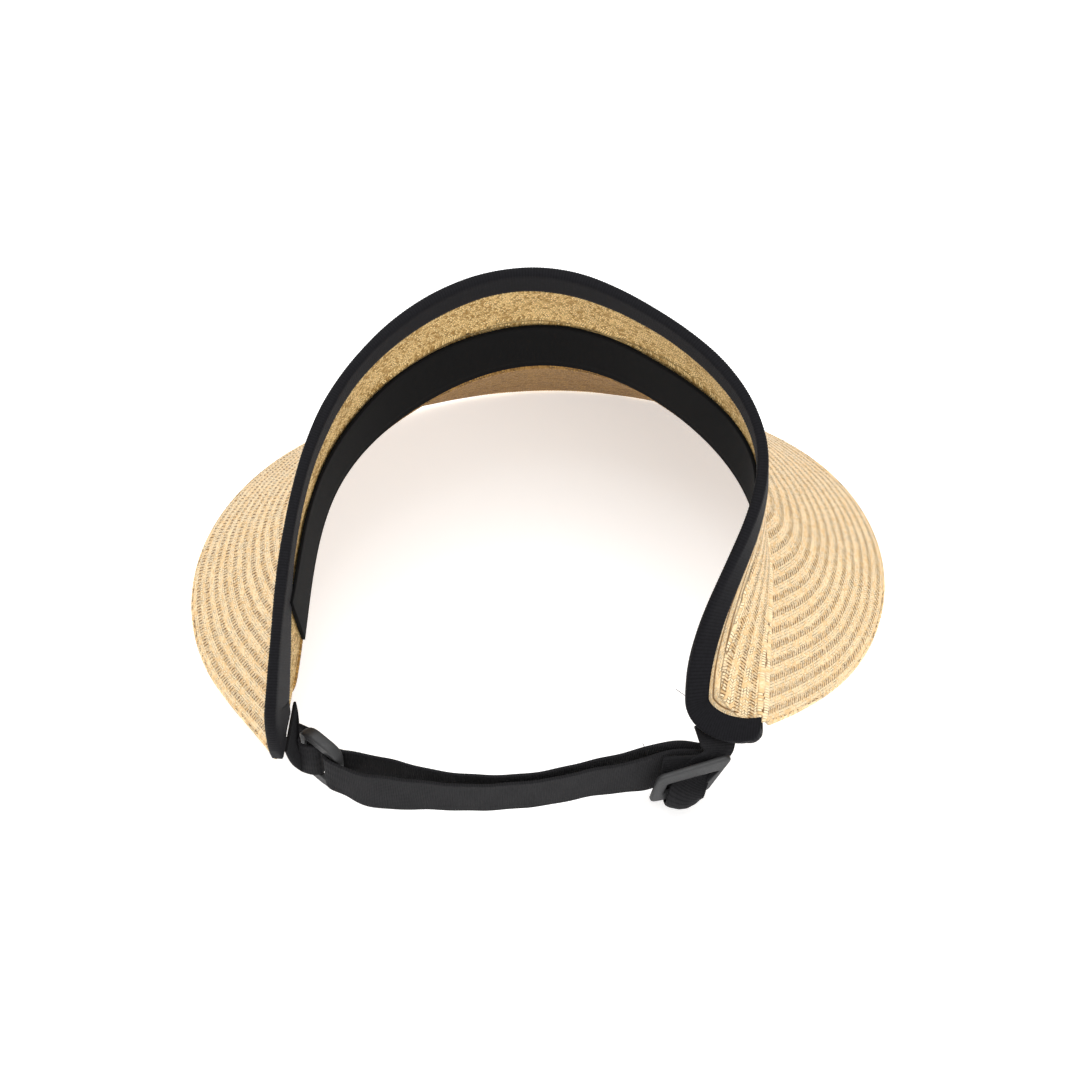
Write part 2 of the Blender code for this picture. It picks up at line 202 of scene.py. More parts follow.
class NodePen:
    """Short hand for placing nodes in one node tree and joining them up."""

    def __init__(self, tree):
        self.tree = tree

    def node(self, kind, **settings):
        made = self.tree.nodes.new(kind)
        for key, value in settings.items():
            setattr(made, key, value)
        return made

    def put(self, socket, value):
        if isinstance(value, bpy.types.NodeSocket):
            self.tree.links.new(value, socket)
        else:
            socket.default_value = value

    def maths(self, operation, *values):
        made = self.node("ShaderNodeMath", operation=operation)
        for socket, value in zip(made.inputs, values):
            self.put(socket, value)
        return made.outputs[0]

    def plus(self, total, *others):
        for other in others:
            total = self.maths("ADD", total, other)
        return total

    def times(self, product, *others):
        for other in others:
            product = self.maths("MULTIPLY", product, other)
        return product

    def from_whole(self, value):
        """How far value is from the nearest whole number, up to a half."""
        return self.maths("PINGPONG", value, 0.5)

    def ramp(self, value, low, high, start=0.0, end=1.0):
        """Smooth step of value from start at low to end at high."""
        made = self.node("ShaderNodeMapRange", interpolation_type="SMOOTHSTEP")
        for socket, number in zip(made.inputs, (value, low, high, start, end)):
            self.put(socket, number)
        return made.outputs[0]

    def noise(self, vector, scale, detail=2.0):
        made = self.node("ShaderNodeTexNoise")
        self.put(made.inputs["Vector"], vector)
        made.inputs["Scale"].default_value = scale
        made.inputs["Detail"].default_value = detail
        return made.outputs["Fac"]

    def vector(self, x, y, z=0.0):
        made = self.node("ShaderNodeCombineXYZ")
        for socket, value in zip(made.inputs, (x, y, z)):
            self.put(socket, value)
        return made.outputs[0]

    def blend(self, share, first, second):
        made = self.node("ShaderNodeMix", data_type="RGBA")
        self.put(made.inputs["Factor"], share)
        self.put(made.inputs["A"], first)
        self.put(made.inputs["B"], second)
        return made.outputs["Result"]

    def group(self, tree, **values):
        made = self.node("ShaderNodeGroup", node_tree=tree)
        for key, value in values.items():
            self.put(made.inputs[key.replace("_", " ")], value)
        return made.outputs


def new_group(name, inputs, outputs):
    """Empty shader node group with float inputs (name: value) and float outputs."""
    tree = bpy.data.node_groups.new(name, "ShaderNodeTree")
    for key, value in inputs.items():
        tree.interface.new_socket(key, in_out="INPUT", socket_type="NodeSocketFloat").default_value = value
    for key in outputs:
        tree.interface.new_socket(key, in_out="OUTPUT", socket_type="NodeSocketFloat")
    pen = NodePen(tree)
    return tree, pen, pen.node("NodeGroupInput").outputs, pen.node("NodeGroupOutput").inputs


braid_group, pen, given, result = new_group(
    "straw_braid", {"Along": 0.0, "Row": 0.0, "Lap": 0.0, "Slant": 1.0, "Slit Start": 0.55, "Turned": 0.0,
                    "Pitch": SLIT_PITCH}, ("Slit", "Height", "Tone"))
row_number = pen.maths("FLOOR", given["Row"])
across_row = pen.maths("FRACT", given["Row"])
# rows further in from a round edge are shorter by the angle that edge has turned times their distance
shorter_by = pen.times(given["Turned"], pen.plus(row_number, 0.5), BRAID)
own_along = pen.maths("SUBTRACT", given["Along"], shorter_by)
row_noise = pen.node("ShaderNodeTexWhiteNoise", noise_dimensions="1D")
pen.put(row_noise.inputs["W"], row_number)
uneven = pen.noise(pen.vector(pen.times(own_along, 0.35), given["Row"]), 1.0)
shifted = pen.plus(own_along, pen.times(row_noise.outputs["Value"], ROW_SHIFT), pen.times(uneven, 0.9))
# slits: slanted lines at an even pitch, kept to one band of each row and fainter in patches
slanted = pen.plus(shifted, pen.times(across_row, pen.times(given["Slant"], SLIT_LEAN)))
slit_at = pen.maths("DIVIDE", slanted, given["Pitch"])
slit_line = pen.ramp(pen.from_whole(slit_at), 0.28, 0.37, 0.22, 1.0)
band_opens = pen.ramp(across_row, given["Slit Start"], pen.plus(given["Slit Start"], 0.1))
slit_band = pen.times(band_opens, pen.ramp(across_row, 0.99, 0.9))
patch_place = pen.vector(pen.times(own_along, 0.9), pen.times(given["Row"], 3.0))
patchy = pen.ramp(pen.noise(patch_place, 1.0), 0.36, 0.58, 0.35, 1.0)
open_slits = pen.times(slit_line, slit_band, patchy, pen.maths("SUBTRACT", 1.0, given["Lap"]))
# where rows lap closely, a shadow line between them takes the place of the slits
lap_line = pen.times(pen.ramp(pen.from_whole(given["Row"]), 0.17, 0.05), given["Lap"], 0.9)
# strands: narrow bands in each row, slanted to either side in turn, with painted shade in small gaps between
# them
band = pen.times(given["Row"], STRAND_BANDS)
band_number = pen.maths("FLOOR", band)
band_side = pen.plus(pen.times(pen.maths("MODULO", band_number, 2.0), 2.0), -1.0)
strand_shift = pen.times(band_side, pen.maths("FRACT", band), STRAND_LEAN)
strand_at = pen.maths("DIVIDE", pen.plus(shifted, strand_shift), STRAND_PITCH)
strand_noise = pen.node("ShaderNodeTexWhiteNoise", noise_dimensions="2D")
pen.put(strand_noise.inputs["Vector"], pen.vector(pen.maths("FLOOR", strand_at), band_number))
strand_draw = strand_noise.outputs["Value"]
between = pen.maths("MAXIMUM", pen.ramp(pen.from_whole(strand_at), 0.16, 0.02),
                    pen.ramp(pen.from_whole(band), 0.14, 0.02))
shaded_gaps = pen.times(between, pen.ramp(strand_draw, 0.45, 0.95))
# slits, strand gaps and lap lines together: where the colour turns to the painted shade and the surface is
# pressed in
slit = pen.maths("MAXIMUM", open_slits, pen.maths("MAXIMUM", shaded_gaps, lap_line))
pen.put(result["Slit"], slit)
strand_round = pen.ramp(pen.from_whole(strand_at), 0.0, 0.4)
pen.put(result["Height"], pen.maths("SUBTRACT", pen.times(strand_round, 0.6), pen.times(slit, 1.4)))
fine_tone = pen.noise(pen.vector(pen.times(own_along, 1.9), pen.times(given["Row"], 10.0)), 1.0)
slow_tone = pen.noise(pen.vector(pen.times(own_along, 0.07), pen.times(given["Row"], 0.9)), 1.0)
tone = pen.plus(pen.times(strand_draw, 0.36), pen.times(fine_tone, 0.44), pen.times(slow_tone, 0.2))
pen.put(result["Tone"], tone)


def straw_material(name, pale, deep, gap, slant, slit_start, pitch=SLIT_PITCH):
    """Braided straw: pale and deep strand colours, and gap, painted shade down in the slits and between the
    strands.

    The slits lean by slant and begin at slit_start of each row; from 1 on there are none.
    """
    material = bpy.data.materials.new(name)
    material.use_nodes = True
    pen = NodePen(material.node_tree)
    shader = material.node_tree.nodes["Principled BSDF"]
    place = pen.node("ShaderNodeSeparateXYZ")
    pen.put(place.inputs[0], pen.node("ShaderNodeUVMap", uv_map="cloth").outputs[0])
    lap = pen.node("ShaderNodeAttribute", attribute_name="lap").outputs["Fac"]
    turned_by = pen.node("ShaderNodeAttribute", attribute_name="turned_by").outputs["Fac"]
    braid = pen.group(braid_group, Along=place.outputs[0], Row=place.outputs[1], Lap=lap, Slant=slant,
                      Slit_Start=slit_start, Turned=turned_by, Pitch=pitch)
    strand = pen.blend(pen.ramp(braid["Tone"], 0.3, 0.66), (*deep, 1.0), (*pale, 1.0))
    pen.put(shader.inputs["Base Color"], pen.blend(braid["Slit"], strand, (*gap, 1.0)))
    pen.put(shader.inputs["Roughness"], pen.ramp(braid["Tone"], 0.0, 1.0, 0.75, 0.5))
    shader.inputs["Specular IOR Level"].default_value = 0.3
    bump = pen.node("ShaderNodeBump")
    bump.inputs["Distance"].default_value = 0.00025
    pen.put(bump.inputs["Height"], braid["Height"])
    pen.put(shader.inputs["Normal"], bump.outputs[0])
    return material


# each set: pale strand, deep strand, and the painted shade down in slits and strand gaps
FACE_COLOURS = (1.0, 0.80, 0.51), (0.78, 0.52, 0.25), (0.17, 0.068, 0.010)
# inside colours: darker and deeper than the face, partly painted shade inside the crown, partly the braid's
# darker back
INSIDE_COLOURS = (0.98, 0.69, 0.30), (0.34, 0.19, 0.05), (0.05, 0.022, 0.005)
# underside colours: the face's darkened, painted shade under the brim
UNDER_SHADED_COLOURS = (0.50, 0.27, 0.06), (0.20, 0.10, 0.02), (0.04, 0.02, 0.004)
straw_face = straw_material("straw_face", *FACE_COLOURS, 0.8, 0.5)
straw_brim_face = straw_material("straw_brim_face", *FACE_COLOURS, 0.7, 0.5, BRIM_SLIT_PITCH)
straw_inside = straw_material("straw_inside", *INSIDE_COLOURS, 1.6, 1.5)
straw_under_shaded = straw_material("straw_under_shaded", *UNDER_SHADED_COLOURS, 1.6, 0.6)

# Brim. One wide straw wall that hangs from the fold and curls down at both ears. The braid is sewn on in
# rows from its outer edge inwards, so the rows run even with that edge and meet the fold at a slant.
BRIM_LEFT, BRIM_RIGHT = 2.0, 9.0   # how far the brim keeps from the head line's ends
WALL_START = 0.9                   # both straw walls begin this far from the fold line
WALL_LEAST = 1.9                   # and reach at least this far
WALL_THICK = 1.5
LAP_STEP = 0.26                    # how far a row stands over the next


def eased(start, end, count, crowding):
    """Numbers from start to end that lie closer together towards both ends."""
    even = np.linspace(0.0, 1.0, count)
    return start + (end - start) * (crowding * (0.5 - 0.5 * np.cos(np.pi * even)) + (1.0 - crowding) * even)


def nearest_on_line(points, line, window):
    """For each point of a grid, its distance to a polyline and the length along it of its foot there.

    Grid row i is compared with the corners beside share i of the line, and no others. The foot lies on the
    tangent at the nearest corner, and the lengths are then averaged over neighbouring grid rows.
    """
    length = path_length(line)
    centre = np.linspace(0, len(line) - 1, len(points)).astype(int)
    near = np.clip(centre[:, None] + np.arange(-window, window + 1), 0, len(line) - 1)
    gap = np.linalg.norm(points[:, :, None, :] - line[near][:, None, :, :], axis=-1)
    nearest = np.take_along_axis(near, gap.argmin(axis=2), axis=1)
    beyond = ((points - line[nearest]) * unit(np.gradient(line, axis=0))[nearest]).sum(axis=-1)
    beside = 4
    foot = np.pad(length[nearest] + beyond, ((beside, beside), (0, 0)), mode="edge")
    averaged = 2 * beside + 1
    return gap.min(axis=2), sum(foot[shift:shift + len(points)] for shift in range(averaged)) / averaged


def wander(along, across, size):
    """Slow hand-made unevenness: a sum of a few waves of unlike length, in millimetres."""
    return size * (0.5 * np.sin(along / 13.0 + 0.7 * np.sin(across / 9.0))
                   + 0.3 * np.sin(along / 5.3 + across / 7.0 + 1.3)
                   + 0.2 * np.sin(along / 2.9 - across / 4.1))


def braid_relief(row):
    """Height of a lapped row: a low cushion that rises to its lapping edge and drops to the next row."""
    part = row - np.floor(row)
    return LAP_STEP * ((1.0 - np.abs(2.0 * part - 1.0) ** 4) * 0.6 + 0.55 * part - 0.55)


def grid_faces(rows, columns, wrap_rows=False, wrap_columns=False):
    """Quads of a rows x columns grid of points, as an array of corner numbers; either way may wrap."""
    index = np.arange(rows * columns).reshape(rows, columns)
    if wrap_rows:
        index = np.concatenate((index, index[:1]))
    if wrap_columns:
        index = np.concatenate((index, index[:, :1]), axis=1)
    return np.stack((index[:-1, :-1], index[:-1, 1:], index[1:, 1:], index[1:, :-1]), axis=-1).reshape(-1, 4)


def make_piece(name, points, quads, materials, uv=None, values=None, face_material=None, caps=()):
    """Mesh object from points in the drawing frame, quads and end caps (lists of corners).

    uv gives each point a place on the cloth in millimetres, values named numbers per point. All faces are
    turned over where they wrap a negative volume.
    """
    flat = points.reshape(-1, 3)
    side = (flat - flat.mean(axis=0))[quads]
    volume = (np.cross(side[:, 1] - side[:, 0], side[:, 2] - side[:, 0]) * side[:, 0]
              + np.cross(side[:, 2] - side[:, 0], side[:, 3] - side[:, 0]) * side[:, 0]).sum()
    order = -1 if volume < 0.0 else 1
    faces = quads[:, ::order].tolist() + [list(cap)[::order] for cap in caps]
    mesh = bpy.data.meshes.new(name)
    mesh.from_pydata((flat * MM + PLACE).tolist(), [], faces)
    if uv is not None:
        corner = np.empty(len(mesh.loops), dtype=np.int32)
        mesh.loops.foreach_get("vertex_index", corner)
        layer = mesh.uv_layers.new(name="cloth")
        layer.data.foreach_set("uv", uv.reshape(-1, 2)[corner].ravel().astype(np.float32))
    for key, numbers in (values or {}).items():
        attribute = mesh.attributes.new(key, "FLOAT", "POINT")
        attribute.data.foreach_set("value", numbers.ravel().astype(np.float32))
    for material in materials:
        mesh.materials.append(material)
    if face_material is not None:
        slots = np.zeros(len(mesh.polygons), dtype=np.int32)
        slots[:len(face_material)] = face_material
        mesh.polygons.foreach_set("material_index", slots)
    mesh.validate()
    mesh.shade_smooth()
    piece = bpy.data.objects.new(name, mesh)
    bpy.context.scene.collection.objects.link(piece)
    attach(piece, "root")
    return piece


def there_and_back(face, back):
    """Grid rows that go out over the good face and come back over the other."""
    return np.concatenate((face, back[:, ::-1]), axis=1)


def straw_wall(name, way, along, reach, row, run, lap, turned_by, thickness, materials):
    """Closed straw wall: good face with relief, back face with the same rows, rims between them.

    The good face is on the wall's outer side, or on the other with a negative thickness.
    """
    half = thickness / 2.0
    slow = wander(run, row * BRAID, 0.25)
    side = np.sign(thickness)
    outer = wall(way, along, reach, half + side * braid_relief(row) + slow)
    inner = wall(way, along, reach, -half - side * braid_relief(row + 0.5) * 0.8 + slow)
    rings, steps = reach.shape
    sides = 2 * steps
    place = np.stack((run, row), axis=-1)
    values = {"lap": there_and_back(lap, np.zeros_like(lap)),
              "turned_by": there_and_back(turned_by, turned_by)}
    slots = np.tile((np.arange(sides) >= steps).astype(np.int32), rings - 1)
    step = np.arange(steps - 1)
    first = np.stack((step + 1, step, sides - 1 - step, sides - 2 - step), axis=1)
    last = first[:, ::-1] + (rings - 1) * sides
    quads = np.concatenate((grid_faces(rings, sides, wrap_columns=True), first, last))
    return make_piece(name, there_and_back(outer, inner), quads, materials, there_and_back(place, place),
                      values, slots)


brim_along = eased(BRIM_LEFT, HEAD - BRIM_RIGHT, 470, 0.35)
brim_edge = np.maximum(read(brim_width, brim_along), WALL_LEAST)
brim_share = np.linspace(0.0, 1.0, 100)
brim_reach = WALL_START + (brim_edge - WALL_START)[:, None] * brim_share
brim_grid = np.repeat(brim_along[:, None], len(brim_share), axis=1)
edge_line = wall(brim_way, brim_along, brim_edge, np.zeros(len(brim_along)))
from_edge, edge_run = nearest_on_line(wall(brim_way, brim_grid, brim_reach, np.zeros_like(brim_reach)),
                                      edge_line, 70)
edge_travel = unit(np.gradient(edge_line, axis=0))
edge_face = unit(np.cross(edge_travel, read(brim_way, brim_along)))
edge_turn = np.cumsum((np.cross(edge_travel[:-1], edge_travel[1:]) * edge_face[1:]).sum(axis=1))
edge_turn = np.concatenate(((0.0,), edge_turn * np.sign(edge_turn[-1])))
brim_turned = np.interp(edge_run, path_length(edge_line), edge_turn)
# the brim's back face takes the underside colours: painted shade
brim = straw_wall("straw_brim", brim_way, brim_grid, brim_reach, from_edge / BRAID, edge_run,
                  np.zeros_like(from_edge), brim_turned, -WALL_THICK, (straw_brim_face, straw_under_shaded))
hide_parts("brim")

# Crown. An upright straw band, open at the back, whose right end is curled inwards. Its rows run along
# the top edge, turn at the ends and come back along the fold; they meet in a small slit.
CROWN_END = 0.3             # how far the crown keeps from the head line's ends
CORNER_CUT = 4.5            # radius of the crown's lower right corner
CORNER_EASE = 14.0          # length over which its columns shift to make room for that round
CURL, CURL_EASE = 170.0, 60.0       # length of the curled right end, over part of which its rows close up
RIBBON_FOOT, CLOSE_ROW = 7.8, 2.2   # there the rows below the ribbon edge are this high
MEET = 8.0                          # how sharply the two sets of rows meet


def round_off(to_end):
    """How far a quarter circle of the corner's radius stands back, at a distance from its straight side."""
    return CORNER_CUT - np.sqrt(CORNER_CUT ** 2 - np.clip(CORNER_CUT - to_end, 0.0, None) ** 2)


crown_along = eased(CROWN_END, HEAD - CROWN_END, 520, 0.6)
crown_top = np.maximum(read(crown_height, crown_along), WALL_LEAST)
crown_share = np.linspace(0.0, 1.0, 64)
crown_reach = WALL_START + (crown_top - WALL_START)[:, None] * crown_share
near_end = np.clip((crown_along - (HEAD - CORNER_EASE)) / (CORNER_EASE - CROWN_END), 0.0, 1.0) ** 2
crown_grid = crown_along[:, None] - round_off(crown_reach) * near_end[:, None]
flat_points = np.stack((crown_grid, crown_reach), axis=-1)
from_top, top_run = nearest_on_line(flat_points, np.column_stack((crown_along, crown_top)), 60)
# at the curled right end the rows under the ribbon edge are stacked closer, so their laps show as painted
# shadow lines
stacked = np.clip((crown_grid - (HEAD - CURL)) / CURL_EASE, 0.0, 1.0)
close_row = np.where(from_top < RIBBON_FOOT, from_top / BRAID, 1.5 + (from_top - RIBBON_FOOT) / CLOSE_ROW)
top_row = from_top / BRAID * (1.0 - stacked) + close_row * stacked
fold_row = crown_reach / BRAID
nearer_top = top_row < fold_row
# the two sets of rows meet in a soft minimum of their numbers
crown_row = (top_row ** -MEET + np.maximum(fold_row, 0.05) ** -MEET) ** (-1.0 / MEET)
crown_run = np.where(nearer_top, top_run, crown_grid)
# the crown's inner face takes the inside colours: partly painted shade
crown = straw_wall("straw_crown", crown_way, crown_grid, crown_reach, crown_row, crown_run,
                   nearer_top * stacked, np.zeros_like(crown_row), WALL_THICK, (straw_face, straw_inside))
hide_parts("crown_band")

# Fold row. The one row of braid that is bent over where brim and crown meet, so it stands out as a
# smooth rounded ridge. A low oval carried along the fold.
FOLD_HALF, FOLD_THICK = 2.3, 1.35
FOLD_LEFT, FOLD_RIGHT = 26.0, 7.0   # how far it keeps from the head line's ends
FOLD_EASE = 6.0                     # length over which it grows at each end
FOLD_SHADE = 110.0                   # its inner half takes the underside colours, painted shade, up to this far from the right end


def oval(first, second, turn):
    """Ellipse at each station: the vector first times the cosine of turn plus second times its sine."""
    return (first[:, None, :] * np.cos(turn)[None, :, None]
            + second[:, None, :] * np.sin(turn)[None, :, None])


def end_caps(rings, sides):
    """Corner lists that close both ends of a carried profile."""
    last = (rings - 1) * sides
    return (range(sides - 1, -1, -1), range(last, last + sides))


fold_run = np.linspace(FOLD_LEFT, HEAD - FOLD_RIGHT, 700)
turn = np.linspace(0.0, 2.0 * np.pi, 18, endpoint=False)
crown_side, brim_side = unit(read(crown_way, fold_run)), unit(read(brim_way, fold_run))
fold_across = unit(crown_side - brim_side) * FOLD_HALF
fold_out = -unit(crown_side + brim_side) * FOLD_THICK
to_fold_end = np.minimum(fold_run - FOLD_LEFT, HEAD - FOLD_RIGHT - fold_run) + 0.1
fold_grow = quarter_round(to_fold_end, FOLD_EASE)[:, None, None]
strand = 1.0 + 0.03 * np.sin(2.0 * np.pi * fold_run[:, None, None] / 1.7 + 2.0 * turn[None, :, None])
ridge = read(fold, fold_run)[:, None, :] + fold_grow * strand * oval(fold_across, fold_out, turn)
ridge_uv = np.stack(np.broadcast_arrays(fold_run[:, None], 0.1 + 0.5 * turn[None, :] / (2.0 * np.pi)), -1)
# the ridge's inner half, facing in under the fold, gets the underside material: painted shade
shaded_side = (np.sin(turn + 0.17) > 0.0) & (fold_run[1:, None] < HEAD - FOLD_SHADE)
ridge_piece = make_piece("straw_fold", ridge, grid_faces(len(fold_run), len(turn), wrap_columns=True),
                         (straw_face, straw_under_shaded), ridge_uv, caps=end_caps(len(fold_run), len(turn)),
                         face_material=shaded_side.ravel().astype(np.int32))

# Ribbon edge. Black ribbed grosgrain, folded over the crown's edge and sewn through, from one lower
# corner round the top to the other. A U profile carried along the crown's outline, with a rib each mm.
RIBBON_LEAF, RIBBON_NEAR, RIBBON_THICK = 7.5, 1.25, 0.75
RIB_PITCH, RIB_HEIGHT = 1.0, 0.07
CORNER_STEPS = 30           # stations down each end of the crown, from its top to the fold
SOFTEN = 15                 # stations either side over which the outline's direction is averaged
LEAF_POINTS = 9
WIDE_LEAF = 80.0            # near the left end, up to here, the inner leaf is wider
LEAF_STOP = 0.8             # and stops this far above the fold

weave_group, pen, given, result = new_group(
    "ribbed_weave", {"Along": 0.0, "Across": 0.0, "Rib": 1.0, "Yarn": 0.35}, ("Height", "Tone"))
rib = pen.ramp(pen.from_whole(pen.maths("DIVIDE", given["Along"], given["Rib"])), 0.0, 0.34)
yarn = pen.ramp(pen.from_whole(pen.maths("DIVIDE", given["Across"], given["Yarn"])), 0.0, 0.4)
pen.put(result["Height"], pen.plus(pen.times(rib, 0.7), pen.times(yarn, 0.3)))
# the tone blends a random fuzz with the ribs: lighter on them as painted highlight, darker between them as
# painted shade
fuzz = pen.noise(pen.vector(pen.times(given["Along"], 0.8), pen.times(given["Across"], 0.8)), 1.0)
pen.put(result["Tone"], pen.times(pen.plus(pen.times(rib, 0.6), fuzz), 0.62))


def woven_material(name, dark, light, rib, yarn, depth, roughness):
    """Woven cloth: painted highlight on its ribs, painted shade between; rib and yarn pitch in millimetres.
    """
    material = bpy.data.materials.new(name)
    material.use_nodes = True
    pen = NodePen(material.node_tree)
    shader = material.node_tree.nodes["Principled BSDF"]
    place = pen.node("ShaderNodeSeparateXYZ")
    pen.put(place.inputs[0], pen.node("ShaderNodeUVMap", uv_map="cloth").outputs[0])
    weave = pen.group(weave_group, Along=place.outputs[0], Across=place.outputs[1], Rib=rib, Yarn=yarn)
    pen.put(shader.inputs["Base Color"], pen.blend(weave["Tone"], (*dark, 1.0), (*light, 1.0)))
    shader.inputs["Roughness"].default_value = roughness
    shader.inputs["Specular IOR Level"].default_value = 0.09
    shader.inputs["Sheen Weight"].default_value = 0.02
    shader.inputs["Sheen Roughness"].default_value = 0.5
    bump = pen.node("ShaderNodeBump")
    bump.inputs["Distance"].default_value = depth
    pen.put(bump.inputs["Height"], weave["Height"])
    pen.put(shader.inputs["Normal"], bump.outputs[0])
    return material


grosgrain = woven_material("grosgrain_black", (0.0015, 0.0015, 0.002), (0.010, 0.0097, 0.012), RIB_PITCH, 0.4,
                           0.00012, 0.62)
# the crown's outline in its flat (along, up from the fold), down to the fold at both ends
edge_along = eased(CROWN_END, HEAD - CROWN_END, 1500, 0.6)
edge_top = np.maximum(read(crown_height, edge_along), WALL_START)
drop = np.linspace(1.0, 0.0, CORNER_STEPS)[1:]
edge_top = np.concatenate((edge_top[0] * drop[::-1], edge_top, edge_top[-1] * drop))
edge_along = np.pad(edge_along, len(drop), mode="edge")
edge_length = path_length(np.column_stack((edge_along, edge_top)))
even_run = np.linspace(0.0, edge_length[-1], 2080)
edge_along = np.interp(even_run, edge_length, edge_along)
edge_top = np.interp(even_run, edge_length, edge_top)
kernel = np.hanning(2 * SOFTEN + 1) / np.hanning(2 * SOFTEN + 1).sum()
steps_taken = [np.pad(np.gradient(place), SOFTEN, mode="edge") for place in (edge_along, edge_top)]
edge_way = unit(np.column_stack([np.convolve(steps, kernel, mode="valid") for steps in steps_taken]))
edge_inwards = np.column_stack((edge_way[:, 1], -edge_way[:, 0]))
# section as (depth from the edge, out from the straw): outer leaf, fold, inner leaf, and back inside
leaf = np.linspace(RIBBON_LEAF, 0.6, LEAF_POINTS)
over = np.linspace(0.0, np.pi, 7)[1:-1]
ribbon_far = RIBBON_NEAR + RIBBON_THICK
outer_path = np.concatenate((np.column_stack((leaf, np.full(LEAF_POINTS, ribbon_far))),
                             np.column_stack((0.3 - 1.1 * np.sin(over), ribbon_far * np.cos(over))),
                             np.column_stack((leaf[::-1], np.full(LEAF_POINTS, -ribbon_far)))))
inner_path = np.array(((RIBBON_LEAF, -RIBBON_NEAR), (2.0, -RIBBON_NEAR), (-0.1, -0.9), (-0.1, 0.9),
                       (2.0, RIBBON_NEAR), (RIBBON_LEAF, RIBBON_NEAR)))
ribbon_profile = np.concatenate((outer_path, inner_path))
ribbon_across = np.concatenate((np.linspace(-10.0, 10.0, len(outer_path)),
                                np.linspace(10.0, -10.0, len(inner_path))))
on_face = (np.arange(len(ribbon_profile)) < len(outer_path)).astype(float)
rib_wave = RIB_HEIGHT * np.cos(2.0 * np.pi * even_run / RIB_PITCH)[:, None]
pull = 0.12 * np.sin(even_run / 9.0)[:, None] + wander(even_run[:, None], ribbon_across[None, :], 0.1)
lift = np.sign(ribbon_profile[:, 1]) * (rib_wave + pull) * on_face
depth_in = (ribbon_profile[:, 0][None, :]
            + 0.25 * np.sin(even_run / 17.0)[:, None] * (ribbon_profile[:, 0] > 5.0))
# the inner leaf is widest near the left end, where it hides most of the straw, and wider at the front
wide_leaf = np.clip((even_run - 2.0) / 6.0, 0.0, 1.0) * np.clip((WIDE_LEAF - even_run) / 42.0, 0.0, 1.0)
wide_leaf = 1.15 * wide_leaf ** 2 * (3.0 - 2.0 * wide_leaf)
wide_leaf = np.maximum(wide_leaf, 0.27 * np.exp(-((even_run / even_run[-1] - 0.47) / 0.16) ** 2))
inner_leaf = (ribbon_profile[:, 1] < 0.0) & (ribbon_profile[:, 0] > 1.0)
depth_in = depth_in * (1.0 + wide_leaf[:, None] * inner_leaf)
# the right end is cut round, with the crown's corner
cut_share = np.clip((RIBBON_LEAF - depth_in) / (RIBBON_LEAF + 0.8), 0.0, 1.0)
depth_in = depth_in + round_off(even_run[-1] - even_run)[:, None] * cut_share
ribbon_reach = edge_top[:, None] + edge_inwards[:, 1:] * depth_in
ribbon_reach = np.where((even_run[:, None] < WIDE_LEAF) & (ribbon_reach < LEAF_STOP),
                        LEAF_STOP + 0.02 * (ribbon_reach - LEAF_STOP), ribbon_reach)
ribbon_points = wall(crown_way, edge_along[:, None] + edge_inwards[:, :1] * depth_in, ribbon_reach,
                     ribbon_profile[:, 1][None, :] + lift)
ribbon_uv = np.stack(np.broadcast_arrays(even_run[:, None], ribbon_across[None, :]), -1)
ribbon = make_piece("ribbon_edge", ribbon_points,
                    grid_faces(len(even_run), len(ribbon_profile), wrap_columns=True), (grosgrain,),
                    ribbon_uv, caps=end_caps(len(even_run), len(ribbon_profile)))
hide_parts("crown_binding")

# Sweatband. A strip of fine flat black cloth with turned edges, sewn by its foot to the inside of the
# crown and free at its top. It lies half a millimetre off the straw.
BAND_THICK, BAND_FOOT, BAND_HEIGHT = 1.3, 1.2, 29.0
BAND_LEFT, BAND_RIGHT = 46.0, 40.0  # how far it keeps from the head line's ends
BAND_CLEAR = 0.55                   # gap between it and the straw


def strip_profile(width, thickness, steps, corner_steps=5):
    """Closed section of a strip: two flat faces and two half-round edges, as (across, out) pairs."""
    flat = np.linspace(-0.5, 0.5, steps) * (width - thickness)
    bend = np.linspace(0.0, np.pi, corner_steps + 2)[1:-1]
    half = thickness / 2.0
    edge = np.column_stack((np.sin(bend), np.cos(bend))) * half
    return np.concatenate((np.column_stack((flat, np.full(steps, half))), edge + (flat[-1], 0.0),
                           np.column_stack((flat[::-1], np.full(steps, -half))), -edge + (flat[0], 0.0)))


sweat_cloth = woven_material("sweatband_cloth", (0.0018, 0.0018, 0.002), (0.004, 0.004, 0.0043), 0.5, 0.5,
                             0.00005, 0.9)
band_along = np.linspace(BAND_LEFT, HEAD - BAND_RIGHT, 520)
band_top = np.minimum(BAND_HEIGHT, read(crown_height, band_along) - RIBBON_LEAF - 1.0)
band_foot = BAND_FOOT + 1.9 * np.exp(-((band_along / HEAD - 0.5) / 0.14) ** 2)
band_half = (band_top - band_foot) / 2.0
